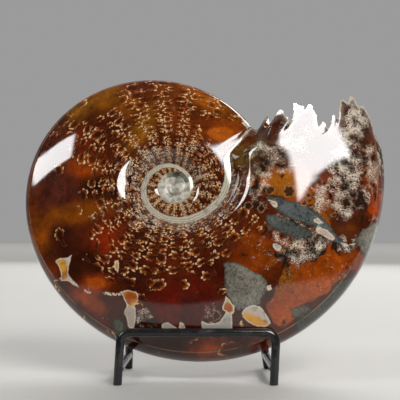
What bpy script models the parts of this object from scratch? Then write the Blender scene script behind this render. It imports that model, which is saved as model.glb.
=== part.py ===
"""A polished ammonite leaning back in a stand of bent black rods.

Metres, +Z up, +X to the right, +Y away from the viewer.
The origin is on the floor, under the middle of the whole object.

The fossil is built in the plane of its own disc, X right and Y up, with its
thickness along Z, and is then stood up and leaned back by its rotation.
Angles along the spiral are in degrees and keep counting from turn to turn.
"""
import math

import bmesh
import bpy
from mathutils import Matrix, Vector

# Rim of the spiral: its radius at angle 0, its growth in one full turn, and
# the slight wobble as (cosine, sine) parts of once, twice and three times a turn
RIM_AT_ZERO = 0.0417
GROWTH_PER_TURN = 2.155
RIM_WOBBLE = ((-0.044, 0.029), (0.017, -0.037), (0.0, 0.006))

# The shell is modelled from the innermost turn in the umbilicus to the break
FIRST_ANGLE = -180.0
LAST_ANGLE = 402.0

# Seam where each whorl lies against the one before it: (angle, radius)
SEAM_POINTS = (
    (-180, 0.0070), (0, 0.0079), (60, 0.0088), (120, 0.0118), (180, 0.0140), (250, 0.0154),
    (310, 0.0186), (360, 0.0236), (384, 0.0256), (391, 0.0272), (397, 0.0355), (402, 0.0435),
)

# Cross-section of a whorl, by its share of the way from the seam to the rim
HALF_THICKNESS_AT_ZERO = 0.0088
CREST_SHARE = 0.27
RIDGE_SHARE = 0.9505
RIDGE_HEIGHT = 0.36
WALL_POWER = 2.2
FLANK_POWER = 2.1
VENTER_POWER = 0.55
HUB_HEIGHT = 0.0056

# Broken edge of the last whorl: (share of the way to the rim, angle)
BREAK_POINTS = (
    (0.00, 402), (0.02, 394), (0.06, 393), (0.09, 389), (0.13, 390), (0.185, 394), (0.225, 386.5),
    (0.30, 388), (0.345, 395), (0.40, 390.5), (0.455, 391.5), (0.485, 382), (0.525, 382.5),
    (0.555, 379), (0.64, 383.5), (0.66, 380.5), (0.71, 388.5), (0.75, 384.5), (0.80, 390),
    (0.835, 386.5), (0.875, 389.5), (0.92, 385), (0.95, 386), (1.00, 376),
)
# The smooth line behind it, where its points and notches begin
BREAK_FEET = (
    (0.00, 396), (0.05, 388), (0.15, 383), (0.30, 381), (0.50, 377), (0.80, 378), (1.00, 372),
)
BREAK_STARTS = 360.0
MIDDLE_OF_BREAK = 384.0

# Fineness of the mesh
COLUMN_STEP = 6.0
ROWS = 14
BREAK_CUTS = 5
END_FACE_ROWS = 4

# Where the fossil stands
FOSSIL_CENTRE = Vector((-0.01145, 0.00468, 0.07639))
LEAN_BACK = math.radians(17)
TURN_LEFT = math.radians(5)

# Stand, of one rod size throughout
ROD_RADIUS = 0.0017
ROD_SIDES = 16
BEND_RADIUS = 0.0040
BEND_STEPS = 5
WELD_GAP = 0.0003
FRONT_HOOP = (
    (-0.03306, -0.02820, 0.0), (-0.03210, -0.02615, 0.0200),
    (0.02870, -0.02615, 0.0200), (0.02745, -0.02820, 0.0),
)
BACK_HOOP = (
    (-0.03210, 0.01405, 0.0), (-0.03100, 0.01365, 0.0440),
    (0.02150, 0.01365, 0.0440), (0.02820, 0.01405, 0.0),
)
RAIL_HEIGHT = 0.006


def smooth_curve(points, x):
    """A curve through the points that never overshoots between two of them."""
    xs = [point[0] for point in points]
    ys = [point[1] for point in points]
    slopes = [(ys[i + 1] - ys[i]) / (xs[i + 1] - xs[i]) for i in range(len(xs) - 1)]
    tangents = [slopes[0]]
    for before, after in zip(slopes, slopes[1:]):
        same_way = before * after > 0
        tangents.append(2 * before * after / (before + after) if same_way else 0.0)
    tangents.append(slopes[-1])
    x = min(max(x, xs[0]), xs[-1])
    i = max(k for k in range(len(slopes)) if xs[k] <= x)
    width = xs[i + 1] - xs[i]
    t = (x - xs[i]) / width
    return ((1 + 2 * t) * (1 - t) ** 2 * ys[i] + t * (1 - t) ** 2 * width * tangents[i]
            + t * t * (3 - 2 * t) * ys[i + 1] + t * t * (t - 1) * width * tangents[i + 1])


def straight_curve(points, x):
    """The height of a line with sharp corners at the points."""
    for (x0, y0), (x1, y1) in zip(points, points[1:]):
        if x <= x1:
            return y0 + (y1 - y0) * (x - x0) / (x1 - x0)
    return points[-1][1]


def rim_radius(angle):
    wobble = 0.0
    for times, (cosine, sine) in enumerate(RIM_WOBBLE, start=1):
        turned = math.radians(times * angle)
        wobble += cosine * math.cos(turned) + sine * math.sin(turned)
    return RIM_AT_ZERO * GROWTH_PER_TURN ** (angle / 360) * math.exp(wobble)


def seam_radius(angle):
    return smooth_curve(SEAM_POINTS, angle)


def half_thickness(angle):
    return HALF_THICKNESS_AT_ZERO * GROWTH_PER_TURN ** (angle / 360)


def open_share(angle):
    """How far across the whorl the next one leaves it bare."""
    if angle + 360 > LAST_ANGLE - 0.01:
        return 1.0
    seam = seam_radius(angle)
    return (seam_radius(angle + 360) - seam) / (rim_radius(angle) - seam)


def section_height(share, foot):
    """Height of the flank, 1 at the crest and foot at the seam."""
    if share < CREST_SHARE:
        climb = 1 - (1 - share / CREST_SHARE) ** WALL_POWER
        return foot + (1 - foot) * climb
    if share < RIDGE_SHARE:
        fall = (share - CREST_SHARE) / (RIDGE_SHARE - CREST_SHARE)
        return 1 - (1 - RIDGE_HEIGHT) * fall ** FLANK_POWER
    venter = (share - RIDGE_SHARE) / (1 - RIDGE_SHARE)
    return RIDGE_HEIGHT * max(0.0, 1 - venter) ** VENTER_POWER


def seam_height(angle):
    """Height of the whorl before, where this whorl's seam lies on it."""
    before = angle - 360
    if before < FIRST_ANGLE:
        return HUB_HEIGHT
    return half_thickness(before) * section_height(open_share(before), 0)


def flank_height(angle, share):
    """Distance of the surface from the middle plane of the disc."""
    crest = half_thickness(angle)
    return crest * section_height(share, seam_height(angle) / crest)


def broken_angle(angle, share):
    """Draws the last columns in to the broken edge, and the last one of all onto it."""
    if angle <= BREAK_STARTS:
        return angle
    feet_at = LAST_ANGLE - COLUMN_STEP
    if angle > feet_at + COLUMN_STEP / 2:
        return straight_curve(BREAK_POINTS, share)
    reach = smooth_curve(BREAK_FEET, share) - BREAK_STARTS
    return BREAK_STARTS + reach * (angle - BREAK_STARTS) / (feet_at - BREAK_STARTS)


def disc_point(angle, share, turned_angle, height):
    seam = seam_radius(angle)
    radius = seam + (rim_radius(turned_angle) - seam) * share
    turned = math.radians(turned_angle)
    return Vector((radius * math.cos(turned), radius * math.sin(turned), height))


def spread_row(row):
    """Rows lie closer together at the seam and at the rim."""
    return (1 - math.cos(math.pi * row)) / 2


def flat_grid(columns, rows):
    """A grid with X and Y both from 0 to 1."""
    bm = bmesh.new()
    bmesh.ops.create_grid(bm, x_segments=columns, y_segments=rows, size=0.5)
    bmesh.ops.translate(bm, verts=bm.verts, vec=(0.5, 0.5, 0))
    return bm


def bend_flank(bm, side):
    """Cuts the grid's last column finer, then bends the grid into one side of the shell."""
    edge_x = 1 - 1e-4
    last_edges = [e for e in bm.edges if min(v.co.x for v in e.verts) > edge_x]
    bmesh.ops.subdivide_edges(bm, edges=last_edges, cuts=BREAK_CUTS)
    for vert in bm.verts:
        angle = FIRST_ANGLE + vert.co.x * (LAST_ANGLE - FIRST_ANGLE)
        share = spread_row(vert.co.y) * open_share(angle)
        height = side * flank_height(angle, share)
        vert.co = disc_point(angle, share, broken_angle(angle, share), height)


def bend_end_face(bm):
    """Bends a grid into the fluted face of the break, from one side to the other."""
    for vert in bm.verts:
        share = spread_row(vert.co.x)
        across = 2 * vert.co.y - 1
        edge_angle = straight_curve(BREAK_POINTS, share)
        middle_angle = edge_angle + (MIDDLE_OF_BREAK - edge_angle) * min(1.0, 6 * share)
        turned_angle = middle_angle + (edge_angle - middle_angle) * across ** 2
        height = across * flank_height(LAST_ANGLE, share)
        vert.co = disc_point(LAST_ANGLE, share, turned_angle, height)


def add_to(whole, part):
    """Copies one bmesh into another."""
    mesh = bpy.data.meshes.new("part")
    part.to_mesh(mesh)
    part.free()
    whole.from_mesh(mesh)
    bpy.data.meshes.remove(mesh)


def make_ammonite():
    columns = round((LAST_ANGLE - FIRST_ANGLE) / COLUMN_STEP)
    whole = bmesh.new()
    for side in (1, -1):
        flank = flat_grid(columns, ROWS)
        bend_flank(flank, side)
        add_to(whole, flank)
    end_face = flat_grid(ROWS * (BREAK_CUTS + 1), END_FACE_ROWS)
    bend_end_face(end_face)
    add_to(whole, end_face)
    bmesh.ops.remove_doubles(whole, verts=whole.verts, dist=1e-5)
    # the hub in the middle of each umbilicus
    open_edges = [e for e in whole.edges if e.is_boundary]
    hubs = bmesh.ops.holes_fill(whole, edges=open_edges, sides=0)["faces"]
    bmesh.ops.triangulate(whole, faces=hubs)
    bmesh.ops.recalc_face_normals(whole, faces=whole.faces)
    if whole.calc_volume(signed=True) < 0:
        bmesh.ops.reverse_faces(whole, faces=whole.faces)
    fossil = finish_object("ammonite", whole, fossil_material())
    fossil.location = FOSSIL_CENTRE
    fossil.rotation_euler = (math.pi / 2 - LEAN_BACK, 0, -TURN_LEFT)
    return fossil


def rounded_path(corners):
    """The corners of a rod's middle line, with every bend turned into an arc."""
    path = [corners[0]]
    for before, corner, after in zip(corners, corners[1:], corners[2:]):
        back = (before - corner).normalized()
        ahead = (after - corner).normalized()
        half_bend = back.angle(ahead) / 2
        centre = corner + (back + ahead).normalized() * BEND_RADIUS / math.sin(half_bend)
        first = corner + back * BEND_RADIUS / math.tan(half_bend) - centre
        last = corner + ahead * BEND_RADIUS / math.tan(half_bend) - centre
        for step in range(BEND_STEPS + 1):
            spoke = first.slerp(last, step / BEND_STEPS).normalized()
            path.append(centre + spoke * BEND_RADIUS)
    path.append(corners[-1])
    return path


def sweep_rod(path):
    """A round bar along the path, with closed ends."""
    bm = bmesh.new()
    rings = []
    for i, point in enumerate(path):
        along = (path[min(i + 1, len(path) - 1)] - path[max(i - 1, 0)]).normalized()
        side = along.cross(Vector((0, 1, 0)))
        if side.length < 0.5:
            side = along.cross(Vector((0, 0, 1)))
        side.normalize()
        turn = Matrix((side, along.cross(side), along)).transposed().to_4x4()
        ring = bmesh.ops.create_circle(bm, radius=ROD_RADIUS, segments=ROD_SIDES,
                                       matrix=Matrix.Translation(point) @ turn)
        rings.append(set(ring["verts"]))
    for first, second in zip(rings, rings[1:]):
        edges = [e for e in bm.edges if set(e.verts) <= first or set(e.verts) <= second]
        bmesh.ops.bridge_loops(bm, edges=edges)
    open_edges = [e for e in bm.edges if e.is_boundary]
    bmesh.ops.holes_fill(bm, edges=open_edges, sides=0)
    return bm


def make_hoop(name, corners):
    """A rod bent into an arch, its feet cut level with the floor."""
    corners = [Vector(corner) for corner in corners]
    below_floor = 3 * ROD_RADIUS
    for foot, knee in ((0, 1), (-1, -2)):
        leg = (corners[foot] - corners[knee]).normalized()
        corners[foot] = corners[foot] + leg * below_floor
    bm = sweep_rod(rounded_path(corners))
    everything = bm.verts[:] + bm.edges[:] + bm.faces[:]
    bmesh.ops.bisect_plane(bm, geom=everything, plane_co=(0, 0, 0), plane_no=(0, 0, -1),
                           clear_outer=True)
    feet = [e for e in bm.edges if e.is_boundary]
    bmesh.ops.holes_fill(bm, edges=feet, sides=0)
    bmesh.ops.recalc_face_normals(bm, faces=bm.faces)
    return finish_object(name, bm, rod_material())


def point_on_leg(foot, knee, height):
    foot, knee = Vector(foot), Vector(knee)
    return foot.lerp(knee, height / knee.z)


def make_rail(name, foot):
    """A straight rod from a front leg to the back leg behind it."""
    knee = {0: 1, 3: 2}[foot]
    front = point_on_leg(FRONT_HOOP[foot], FRONT_HOOP[knee], RAIL_HEIGHT)
    back = point_on_leg(BACK_HOOP[foot], BACK_HOOP[knee], RAIL_HEIGHT)
    inset = (back - front).normalized() * (ROD_RADIUS + WELD_GAP)
    bm = sweep_rod([front + inset, back - inset])
    bmesh.ops.recalc_face_normals(bm, faces=bm.faces)
    return finish_object(name, bm, rod_material())


def make_material(name, colour, roughness, metallic=0.0, coat=0.0):
    material = bpy.data.materials.get(name) or bpy.data.materials.new(name)
    material.use_nodes = True
    shader = material.node_tree.nodes["Principled BSDF"]
    shader.inputs["Base Color"].default_value = (*colour, 1)
    shader.inputs["Roughness"].default_value = roughness
    shader.inputs["Metallic"].default_value = metallic
    shader.inputs["Coat Weight"].default_value = coat
    return material


def fossil_material():
    return make_material("polished_fossil", (0.30, 0.09, 0.02), 0.12, coat=0.5)


def rod_material():
    return make_material("black_rod", (0.012, 0.012, 0.014), 0.28, coat=0.3)


def finish_object(name, bm, material):
    mesh = bpy.data.meshes.new(name)
    bm.to_mesh(mesh)
    bm.free()
    mesh.materials.append(material)
    mesh.shade_smooth()
    mesh.set_sharp_from_angle(angle=math.radians(45))
    made = bpy.data.objects.new(name, mesh)
    bpy.context.scene.collection.objects.link(made)
    return made


def main():
    for old in list(bpy.data.objects):
        bpy.data.objects.remove(old)
    make_ammonite()
    make_hoop("front_hoop", FRONT_HOOP)
    make_hoop("back_hoop", BACK_HOOP)
    make_rail("left_rail", foot=0)
    make_rail("right_rail", foot=3)


main()
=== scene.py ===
"""The looks of a polished ammonite in its stand of bent black rod.

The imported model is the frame, in metres, +Z up and +Y away from the viewer.
The fossil is built as in the model, in the plane of its own disc, but finer:
X right, Y up, thickness along Z, and angles along the spiral in degrees that
keep counting from turn to turn. It is then stood up and leaned back.
"""
import math

import bmesh
import bpy
import numpy as np
from mathutils import Euler, Matrix, Vector


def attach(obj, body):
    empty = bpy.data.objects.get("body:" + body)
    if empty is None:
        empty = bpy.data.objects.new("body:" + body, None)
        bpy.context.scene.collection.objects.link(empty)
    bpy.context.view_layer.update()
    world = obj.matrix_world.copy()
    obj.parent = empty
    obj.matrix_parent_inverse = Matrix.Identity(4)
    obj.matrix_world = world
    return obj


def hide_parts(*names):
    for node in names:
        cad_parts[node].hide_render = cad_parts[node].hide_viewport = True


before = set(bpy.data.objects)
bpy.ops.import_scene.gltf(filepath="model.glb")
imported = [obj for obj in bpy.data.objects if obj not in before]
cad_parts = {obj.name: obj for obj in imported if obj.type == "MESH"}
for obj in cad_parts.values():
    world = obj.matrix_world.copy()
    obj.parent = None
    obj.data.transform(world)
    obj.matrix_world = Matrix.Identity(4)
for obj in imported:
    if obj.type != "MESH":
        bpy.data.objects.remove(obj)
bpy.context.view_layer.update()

# The shell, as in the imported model, but with its crest a little closer to the seam
RIM_AT_ZERO = 0.0417
GROWTH_PER_TURN = 2.155
RIM_WOBBLE = ((-0.044, 0.029), (0.017, -0.037), (0.0, 0.006))
SEAM_POINTS = (
    (-900, 0.0010), (-540, 0.0030), (-360, 0.0047), (-270, 0.0057), (-180, 0.0070), (0, 0.0079),
    (60, 0.0088), (120, 0.0118), (180, 0.0140), (250, 0.0154), (310, 0.0186), (360, 0.0236),
    (384, 0.0256), (391, 0.0272), (397, 0.0355), (402, 0.0435),
)
FIRST_ANGLE = -900.0
FIRST_FULL_ANGLE = -180.0
LAST_ANGLE = 402.0
OVERLAP_ENDS = 44.0
WHORLS = 4
HALF_THICKNESS_AT_ZERO = 0.0088
CREST_SHARE = 0.22
RIDGE_SHARE = 0.9505
RIDGE_HEIGHT = 0.36
WALL_POWER = 2.2
FLANK_POWER = 2.1
VENTER_POWER = 0.55
HUB_HEIGHT = 0.0056
HUB_CREST = 0.0060
HUB_RIM = 1.2
HUB_BLEND = 120.0
FOSSIL_CENTRE = Vector((-0.01145, 0.00468, 0.07639))
LEAN_BACK = math.radians(17)
TURN_LEFT = math.radians(5)

# The broken edge: its smooth feet as (share of the way out, angle), its outline as
# (radius in mm, angle, radius of the knob in mm, or 0 for a notch or a corner),
# and the trough of its face as (share, angle)
BREAK_FEET = (
    (0.00, 396), (0.05, 388), (0.15, 383), (0.30, 381), (0.50, 377), (0.80, 378), (1.00, 372),
)
ROWS_DRIFT_FROM = 330.0
BREAK_STARTS = 360.0
FEET_ANGLE = 396.0
BREAK_EDGE = (
    (43.5, 402.0, 0), (44.6, 397.2, 0), (46.6, 394.4, 1.2), (47.5, 390.9, 0), (49.5, 391.9, 0),
    (52.5, 391.6, 1.15), (53.3, 388.2, 0.65), (53.4, 385.5, 0), (56.3, 386.4, 0),
    (58.3, 387.6, 0.3), (57.8, 390.4, 0), (59.8, 392.1, 0.9), (61.8, 390.0, 0.75), (62.1, 388.5, 0),
    (64.8, 388.9, 1.2), (65.3, 385.0, 0.5), (64.1, 380.6, 0), (66.5, 380.9, 1.1), (67.9, 377.4, 0),
    (72.3, 382.7, 0.9), (74.2, 381.2, 0), (76.4, 384.9, 0.65), (79.1, 386.9, 1.1), (81.1, 385.8, 0),
    (84.0, 387.2, 1.2), (84.6, 384.2, 0), (86.6, 383.8, 0.8), (87.6, 380.7, 0), (87.5, 377.7, 0),
    (87.3, 374.5, 0),
)
TROUGH = (
    (0.00, 402), (0.06, 392), (0.12, 386), (0.20, 382.5), (0.35, 380), (0.52, 375), (0.70, 377),
    (0.85, 380), (0.95, 377), (1.00, 374.5),
)

KNOB_NECK = 0.12
KNOB_STEP = 0.35
KNOBS_FROM = 0.45
# How far the outline is smoothed, in points: for the rows, the strip and the levels of the face
ROW_SOFTENING = 24
STRIP_SOFTENING = 5
FACE_SOFTENING = (0, 3, 7, 12, 18)

# What counts as the face of the break: the share of the flank's height and the depth in
# metres it lies under, how near the outline it is, and where its own distances begin
FACE_SHARE = 0.80
FACE_DEPTH = 0.0002
FACE_REACH = 0.02
FACE_MARK = -0.7

# The flanks wear thinner towards the break, between two angles by one share of their
# height, and at the outline by another. The seam bends out past the steady angle, and
# out on the flank the heights don't follow that bend.
WEAR_STARTS = 361.0
WEAR_ENDS = 380.0
FEET_WEAR = 0.030
EDGE_WEAR = 0.045
STEADY_ANGLE = 386.0
STEADY_SHARES = (0.05, 0.35)
RIPPLE_SLOW = 0.00007
RIPPLE_QUICK = 0.000012

# Fineness of the meshes
COLUMN_PARTS = ((-900.0, -360.0, 3.6), (-360.0, 396.0, 1.2))
ROWS = 58
EDGE_COLUMNS = 9
EDGE_CUTS = 3
FACE_ROWS = 26
ROD_SIDES = 40
BEND_STEPS = 14
EVEN_ROWS = 0.55
MERGE_DISTANCE = 4e-6
FOSSIL_CREASE = 40
ROD_CREASE = 35

# The stand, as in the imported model, but with eased feet and closed welds
ROD_RADIUS = 0.0017
BEND_RADIUS = 0.0040
FRONT_HOOP = (
    (-0.03306, -0.02820, 0.0), (-0.03210, -0.02615, 0.0200),
    (0.02870, -0.02615, 0.0200), (0.02745, -0.02820, 0.0),
)
BACK_HOOP = (
    (-0.03210, 0.01405, 0.0), (-0.03100, 0.01365, 0.0440),
    (0.02150, 0.01365, 0.0440), (0.02820, 0.01405, 0.0),
)
RAIL_HEIGHT = 0.006
FOOT_EASE = 0.00035
FOOT_SPARE = 3
RAIL_STARTS = 0.0013
RAIL_END = 0.0024
RAIL_END_RINGS = 14
WELD_SWELL = 0.00022
WELD_REACH = 0.0009

# The sutures: the angle of one, the angle between two in degrees and in radians, how the
# leaves grow, and their fans as (way they point, seed, size, how far out they stand,
# leaves to a ring, share of the places they fill)
FIRST_COLUMN = 75.0
COLUMN_ANGLE = 16.87
COLUMN_TURN = 0.294
RING_GROWTH = 0.2
LEAF_FANS = (
    (1, 3.0, 0.205, 0.21, 1.5, 1.0),
    (-1, 7.0, 0.19, 0.19, 1.5, 1.0),
    (1, 11.0, 0.12, 0.02, 2.1, 0.6),
)
LOBE_TURNS = 3.5
NECK_WIDTH = 0.045
FEWEST_SUTURES = 0.10

# Heights of the finishes, in metres
WAVE_HEIGHT = 0.000016
RUBBED_HEIGHT = 0.00010
RAW_HEIGHT = 0.0006
PEEL_HEIGHT = 0.00003
TOOTH_HEIGHT = 0.00004

# The camera, whose front view of 400 by 400 also places the marks on the fossil
VIEW_SIZE = 400
CAMERA_PLACE = Vector((-0.00113, -0.37865, 0.060))
CAMERA_TILT = math.radians(91.91)
LENS = 81.0
SENSOR = 36.0
PIXELS_PER_SLOPE = VIEW_SIZE * LENS / SENSOR
LIT_SHARE = 0.56

# The studio: softboxes as (name, degrees round, degrees up, roll, width, height, watts,
# whether the polish shows them), the light on the floor as (width, height, watts, place,
# the same), and the grey of the surround as (low, high, grey at low, grey at high)
SOFTBOX_AIM = Vector((0, 0, 0.075))
SOFTBOX_DISTANCE = 1.12
SOFT_EDGE = 0.10
SOFTBOXES = (
    ("left_softbox", -73, 38, 50, 0.52, 0.22, 4.6, True),
    ("right_softbox", 31, 40, 15, 0.75, 0.48, 17.5, True),
    ("far_softbox", 140, 48, 0, 0.5, 0.36, 5.0, True),
    ("far_fill", 170, 28, 0, 1.4, 1.0, 12.0, False),
)
FLOOR_LIGHT = (5.0, 2.6, 85.0, (0, 2.7, 2.0), False)
FLOOR_SIZE = 8
SURROUND = (-0.2, 0.9, 0.035, 0.33)

# Clouds of colour in the stone, in the front view: (across, down, half width,
# half height, turn in degrees, colour). The ground colour lies between them.
GROUND_WEIGHT = 0.18
CLOUD_SOFTNESS = 0.9
GROUND = (84, 33, 10)
CLOUDS = (
    (80, 104, 15, 7, 50, (196, 128, 18)), (106, 97, 12, 7, 30, (165, 105, 14)),
    (127, 106, 10, 8, 0, (176, 98, 14)), (138, 90, 8, 6, 0, (120, 42, 12)),
    (174, 90, 20, 5, 0, (146, 74, 12)), (208, 98, 20, 8, -25, (196, 112, 20)),
    (232, 112, 12, 8, -35, (150, 84, 18)), (143, 126, 6, 18, -30, (182, 122, 28)),
    (166, 112, 14, 12, 0, (132, 62, 10)), (190, 122, 16, 10, 0, (126, 58, 12)),
    (66, 130, 10, 9, 40, (108, 48, 14)), (82, 138, 6, 8, 0, (124, 44, 12)),
    (84, 168, 12, 8, 10, (190, 84, 10)), (56, 186, 18, 14, 40, (96, 48, 40)),
    (33, 196, 5, 24, 0, (140, 68, 22)), (72, 214, 34, 7, 12, (148, 82, 14)),
    (40, 236, 9, 12, -10, (170, 92, 16)), (58, 234, 9, 12, 20, (56, 22, 14)),
    (108, 238, 11, 14, 0, (150, 46, 10)), (116, 192, 16, 12, 0, (66, 24, 6)),
    (96, 184, 14, 8, 0, (58, 22, 6)), (110, 158, 14, 8, 0, (92, 36, 10)),
    (58, 262, 12, 10, 0, (62, 26, 10)), (52, 268, 5, 7, 30, (160, 70, 14)),
    (97, 283, 9, 6, 10, (186, 78, 12)), (88, 300, 11, 5, -35, (172, 78, 16)),
    (84, 262, 12, 9, 0, (70, 28, 8)), (132, 262, 18, 14, 0, (80, 28, 6)),
    (166, 262, 22, 12, 0, (100, 36, 8)), (170, 302, 16, 16, 0, (112, 26, 8)),
    (142, 308, 8, 14, 0, (78, 26, 8)), (198, 302, 12, 16, 0, (96, 18, 6)),
    (206, 276, 14, 12, 0, (92, 24, 6)), (262, 250, 22, 15, 20, (158, 70, 6)),
    (240, 236, 12, 10, 0, (112, 44, 8)), (212, 232, 20, 10, -20, (96, 38, 10)),
    (222, 131, 14, 8, 0, (168, 80, 18)), (280, 178, 20, 9, 0, (196, 110, 14)),
    (300, 196, 14, 8, 20, (180, 92, 12)), (322, 212, 7, 18, -35, (168, 90, 12)),
    (284, 142, 12, 10, 0, (96, 40, 30)), (322, 188, 8, 12, 0, (140, 70, 48)),
    (376, 206, 5, 10, 0, (178, 68, 12)), (370, 184, 8, 12, 0, (140, 66, 22)),
    (376, 140, 5, 18, -10, (112, 58, 24)), (364, 120, 8, 16, -20, (104, 78, 70)),
    (256, 200, 10, 8, 0, (92, 34, 12)), (242, 214, 10, 10, 0, (102, 42, 12)),
    (352, 205, 12, 10, 0, (96, 52, 34)), (345, 232, 8, 6, 30, (122, 66, 18)),
    (358, 258, 7, 8, 20, (150, 68, 14)), (243, 155, 9, 6, 30, (138, 116, 34)),
    (258, 149, 8, 5, 25, (126, 108, 46)), (268, 140, 8, 7, 0, (92, 72, 58)),
    (262, 168, 9, 7, 0, (88, 66, 44)), (211, 345, 13, 9, 0, (186, 84, 14)),
    (258, 341, 9, 8, 0, (150, 56, 12)), (152, 345, 22, 8, 0, (50, 24, 12)),
)
# How thickly the sutures crowd, where they are missing, and the frost of fine cream
# dendrites: (across, down, half width, half height, turn in degrees, share)
AREA_SOFTNESS = 0.75
AREA_STRENGTH = 2.2
SUTURE_AREAS = (
    (174, 186, 92, 92, 0, 1.0), (150, 252, 74, 42, 0, 1.0), (190, 110, 60, 30, 0, 1.0),
    (70, 120, 30, 22, 40, 0.8), (245, 225, 40, 35, 0, 0.9), (60, 200, 25, 40, 0, 0.35),
)
SUTURE_GAPS = (
    (56, 178, 20, 30, 20, 1.0), (222, 131, 15, 9, 0, 1.0), (262, 250, 22, 15, 20, 1.0),
    (100, 294, 38, 16, -25, 0.85), (190, 308, 40, 22, 0, 0.95), (60, 240, 25, 22, 0, 0.8),
    (300, 190, 45, 35, 0, 1.0), (340, 150, 50, 60, 0, 1.0), (310, 280, 55, 40, -40, 1.0),
    (250, 285, 25, 25, 0, 1.0), (262, 150, 25, 18, 0, 1.0),
)
DENDRITE_AREAS = (
    (272, 158, 20, 10, -20, 0.8), (292, 136, 12, 14, 0, 0.7), (258, 186, 10, 18, 10, 0.7),
    (355, 125, 10, 26, -15, 0.9), (348, 165, 14, 14, 0, 0.95), (372, 165, 10, 16, 0, 0.8),
    (345, 195, 24, 16, 10, 0.75), (302, 243, 20, 14, 10, 0.95), (285, 225, 20, 10, 25, 0.7),
    (140, 322, 12, 9, 0, 0.7), (345, 245, 10, 6, 0, 0.6), (374, 225, 6, 10, 0, 0.4),
    (240, 302, 12, 8, 0, 0.5), (212, 318, 10, 7, 0, 0.6),
)
# Stone of another kind that shows as patches with crisp edges, in the front
# view: (colour, corners). Grey matrix first, then cream veins, then clear amber.
# Past the margin a patch isn't felt, and places farther off count as far off.
PATCH_MARGIN = 20
FAR_OFF = 30.0
MATRIX_PATCHES = (
    ((152, 146, 132), (
        (224, 264), (234, 261), (243, 265), (252, 271), (260, 274), (266, 280), (268, 288), (263, 295),
        (260, 305), (252, 306), (239, 310), (233, 306), (229, 299), (225, 284))),
    ((84, 88, 90), (
        (254, 276), (262, 277), (266, 284), (262, 296), (258, 303), (252, 298), (254, 286))),
    ((150, 146, 134), (
        (355, 240), (364, 229), (373, 223), (384, 220), (386, 236), (374, 258), (366, 256), (359, 248))),
    ((92, 92, 86), (
        (333, 286), (347, 279), (358, 271), (366, 270), (356, 290), (332, 314), (308, 330), (294, 330),
        (298, 319), (311, 311), (322, 302), (330, 293))),
    ((108, 112, 88), (
        (112, 322), (118, 318), (123, 321), (125, 328), (121, 334), (115, 331))),
    ((114, 121, 118), (
        (266, 196), (278, 197), (297, 203), (309, 207), (321, 216), (331, 227), (337, 236), (352, 247),
        (349, 249), (339, 244), (316, 232), (314, 226), (299, 222), (285, 216), (273, 208))),
    ((106, 110, 102), (
        (266, 214), (280, 215), (296, 223), (312, 230), (313, 238), (298, 240), (280, 232), (268, 226))),
    ((112, 108, 92), (
        (291, 309), (298, 305), (309, 306), (312, 310), (300, 317), (291, 318))),
)
VEIN_PATCHES = (
    ((226, 212, 192), (
        (72, 254), (68, 258), (60, 258), (54, 261), (59, 266), (61, 273), (61, 281), (68, 281), (74, 285),
        (79, 288), (77, 284), (72, 280), (68, 274), (69, 265))),
    ((226, 206, 170), (
        (114, 261), (118, 260), (119, 266), (118, 273), (115, 270))),
    ((232, 216, 190), (
        (103, 291), (111, 293), (120, 293), (120, 296), (111, 296), (103, 294))),
    ((226, 186, 120), (
        (120, 292), (127, 290), (137, 292), (139, 299), (136, 305), (128, 307), (124, 299))),
    ((206, 190, 172), (
        (127, 306), (135, 306), (136, 315), (134, 328), (128, 328), (127, 318), (123, 313))),
    ((222, 206, 190), (
        (244, 309), (252, 305), (259, 306), (265, 312), (271, 323), (266, 327), (255, 326), (247, 321),
        (241, 315))),
    ((222, 190, 120), (
        (226, 295), (230, 301), (234, 306), (234, 313), (228, 313), (222, 309))),
    ((196, 190, 182), (
        (201, 320), (207, 324), (219, 323), (225, 314), (232, 313), (232, 329), (202, 329))),
    ((216, 180, 150), (
        (268, 199), (277, 202), (277, 209), (271, 205))),
    ((214, 186, 160), (
        (315, 215), (323, 223), (321, 226), (313, 221))),
    ((222, 196, 176), (
        (316, 227), (326, 229), (336, 238), (332, 241), (316, 232))),
    ((218, 190, 168), (
        (340, 242), (348, 244), (350, 249), (341, 246))),
    ((190, 188, 184), (
        (272, 244), (276, 242), (281, 246), (280, 251), (275, 250))),
    ((210, 196, 178), (
        (161, 325), (167, 322), (172, 325), (178, 328), (178, 331), (163, 331))),
    ((214, 190, 150), (
        (180, 322), (184, 324), (186, 330), (179, 330))),
    ((200, 186, 176), (
        (266, 286), (271, 284), (272, 290), (267, 291))),
    ((190, 176, 160), (
        (84, 289), (91, 292), (90, 294), (84, 292))),
)
AMBER_PATCHES = (
    ((176, 76, 8), (
        (304, 250), (312, 236), (319, 232), (331, 241), (333, 250), (342, 257), (346, 265), (345, 277),
        (333, 284), (330, 293), (314, 299), (300, 306), (296, 318), (282, 328), (275, 325), (267, 311),
        (266, 304), (273, 297), (277, 284), (285, 268), (296, 260))),
    ((150, 64, 6), (
        (239, 238), (249, 232), (262, 236), (270, 243), (273, 252), (280, 259), (274, 266), (264, 270),
        (255, 266), (250, 259), (251, 251), (243, 245))),
    ((176, 100, 20), (
        (260, 178), (268, 170), (280, 168), (291, 166), (296, 172), (303, 180), (308, 186), (305, 196),
        (296, 196), (288, 198), (276, 195), (266, 194), (260, 188))),
    ((168, 90, 14), (
        (308, 190), (316, 198), (323, 206), (330, 222), (333, 236), (326, 230), (318, 214), (308, 206),
        (304, 200))),
    ((188, 70, 8), (
        (368, 196), (376, 193), (384, 194), (384, 206), (380, 213), (370, 214), (366, 206))),
    ((190, 82, 10), (
        (86, 279), (97, 277), (106, 280), (107, 288), (96, 289), (88, 287))),
    ((188, 92, 14), (
        (205, 132), (214, 127), (226, 127), (234, 131), (232, 138), (220, 143), (212, 138))),
    ((156, 66, 10), (
        (345, 246), (356, 250), (365, 257), (364, 266), (352, 271), (344, 262), (340, 252))),
)
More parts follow.
